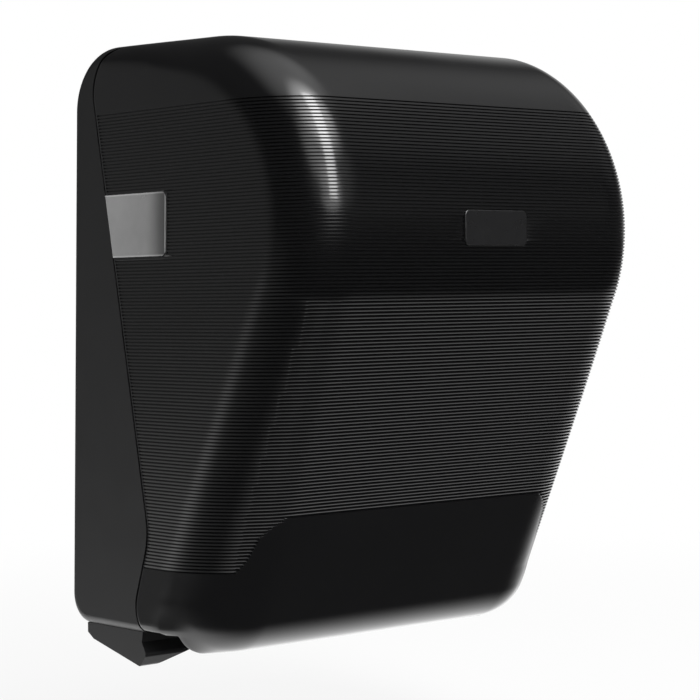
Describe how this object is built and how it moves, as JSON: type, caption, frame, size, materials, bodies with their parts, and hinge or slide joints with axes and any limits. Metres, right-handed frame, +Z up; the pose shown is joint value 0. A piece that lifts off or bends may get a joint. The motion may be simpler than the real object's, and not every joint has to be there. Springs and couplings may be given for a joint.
{
  "type": "autocut towel dispenser",
  "caption": "Wall-mounted roll towel dispenser with a domed, ribbed drop-down cover, side sight windows, roll holders and an automatic cutting drum.",
  "frame": {"origin": "centre of the four wall screw holes, on the wall face", "axes": "+Z up, the wall is the plane Y = 0 and the front faces -Y, +X to the right of someone behind the wall looking out through the front, which is the viewer's right"},
  "size_m": [0.293, 0.2303, 0.3761],
  "materials": {
    "black_abs": "satin moulded black ABS",
    "black_abs_gloss": "glossy moulded black ABS with fine ribs",
    "badge": "bare dark plate",
    "smoke_window": "smoked translucent plastic",
    "clear_guide": "frosted translucent plastic",
    "grey_plastic": "moulded grey plastic",
    "white_acetal": "natural white acetal",
    "grip_rubber": "matt grip rubber",
    "roller_rubber": "ground rubber",
    "blade_steel": "brushed stainless steel",
    "plated_steel": "zinc plated steel",
    "chrome_lock": "plated lock"
  },
  "bodies": {
    "chassis": {"rear_chassis": "black_abs", "exit_lip": "black_abs", "paper_guide": "clear_guide", "frame_plate_left": "grey_plastic", "frame_plate_right": "grey_plastic", "drum_bush_left": "white_acetal", "drum_bush_right": "white_acetal", "blade_cam": "white_acetal", "frame_screws": "plated_steel", "pivot_rod": "plated_steel", "spring_post": "plated_steel", "return_spring": "plated_steel", "roll_arm_left": "grey_plastic", "hub_axle_left": "grey_plastic", "arm_hinge_bracket": "grey_plastic", "arm_hinge_pin": "plated_steel", "cover_hinge_pins": "plated_steel", "lock_catch": "grey_plastic"},
    "cover": {"front_cover": "black_abs_gloss", "sight_window_left": "smoke_window", "sight_window_right": "smoke_window", "badge_plate": "badge", "lock_housing": "chrome_lock", "lock_nut": "plated_steel"},
    "lock": {"lock_plug": "chrome_lock", "lock_cam": "plated_steel", "lock_screw": "plated_steel"},
    "drum": {"drum_shell": "grey_plastic", "grip_bands": "grip_rubber", "drum_cap_left": "grey_plastic", "drum_cap_right": "grey_plastic", "feed_wheel": "grey_plastic", "return_crank": "white_acetal", "crank_pin": "plated_steel"},
    "blade": {"blade_carrier": "grey_plastic", "cutting_blade": "blade_steel", "blade_screws": "plated_steel", "cam_follower": "white_acetal"},
    "bracket": {"pressure_bracket": "grey_plastic", "pressure_springs": "plated_steel"},
    "roller": {"pressure_roller": "roller_rubber", "roller_shaft": "plated_steel"},
    "swing_arm": {"roll_arm_right": "grey_plastic", "hub_axle_right": "grey_plastic"},
    "hub_left": {"core_hub_left": "white_acetal"},
    "hub_right": {"core_hub_right": "white_acetal"}
  },
  "joints": [
    {"name": "cover_hinge", "type": "hinge", "parent": "chassis", "child": "cover", "pos_m": [0, -0.09, -0.155], "axis": [1, 0, 0], "range_deg": [0, 40]},
    {"name": "lock_turn", "type": "hinge", "parent": "cover", "child": "lock", "pos_m": [0, -0.057, 0.175], "axis": [0, 0, -1], "range_deg": [0, 90]},
    {"name": "drum_spin", "type": "hinge", "parent": "chassis", "child": "drum", "pos_m": [0, -0.062, -0.095], "axis": [1, 0, 0], "continuous": true, "deforming": ["return_spring"]},
    {"name": "blade_slide", "type": "slide", "parent": "drum", "child": "blade", "axis": [0, 0, -1], "range_m": [0, 0.008]},
    {"name": "bracket_swing", "type": "hinge", "parent": "chassis", "child": "bracket", "pos_m": [0, -0.113, -0.062], "axis": [-1, 0, 0], "range_deg": [0, 8], "stiffness_Nm_per_rad": 0.8, "springref_deg": -11.46},
    {"name": "roller_spin", "type": "hinge", "parent": "bracket", "child": "roller", "pos_m": [0, -0.1034, -0.095], "axis": [1, 0, 0], "continuous": true},
    {"name": "arm_swing", "type": "hinge", "parent": "chassis", "child": "swing_arm", "pos_m": [0.114, -0.013, 0.071], "axis": [0, 0, 1], "range_deg": [0, 6], "stiffness_Nm_per_rad": 1.5, "springref_deg": -5.73},
    {"name": "hub_spin_left", "type": "hinge", "parent": "chassis", "child": "hub_left", "pos_m": [-0.1, -0.117, 0.071], "axis": [1, 0, 0], "continuous": true},
    {"name": "hub_spin_right", "type": "hinge", "parent": "swing_arm", "child": "hub_right", "pos_m": [0.1, -0.117, 0.071], "axis": [1, 0, 0], "continuous": true}
  ],
  "couplings": [
    {"joint": "roller_spin", "follows": "drum_spin", "ratio": -3.5556}
  ]
}
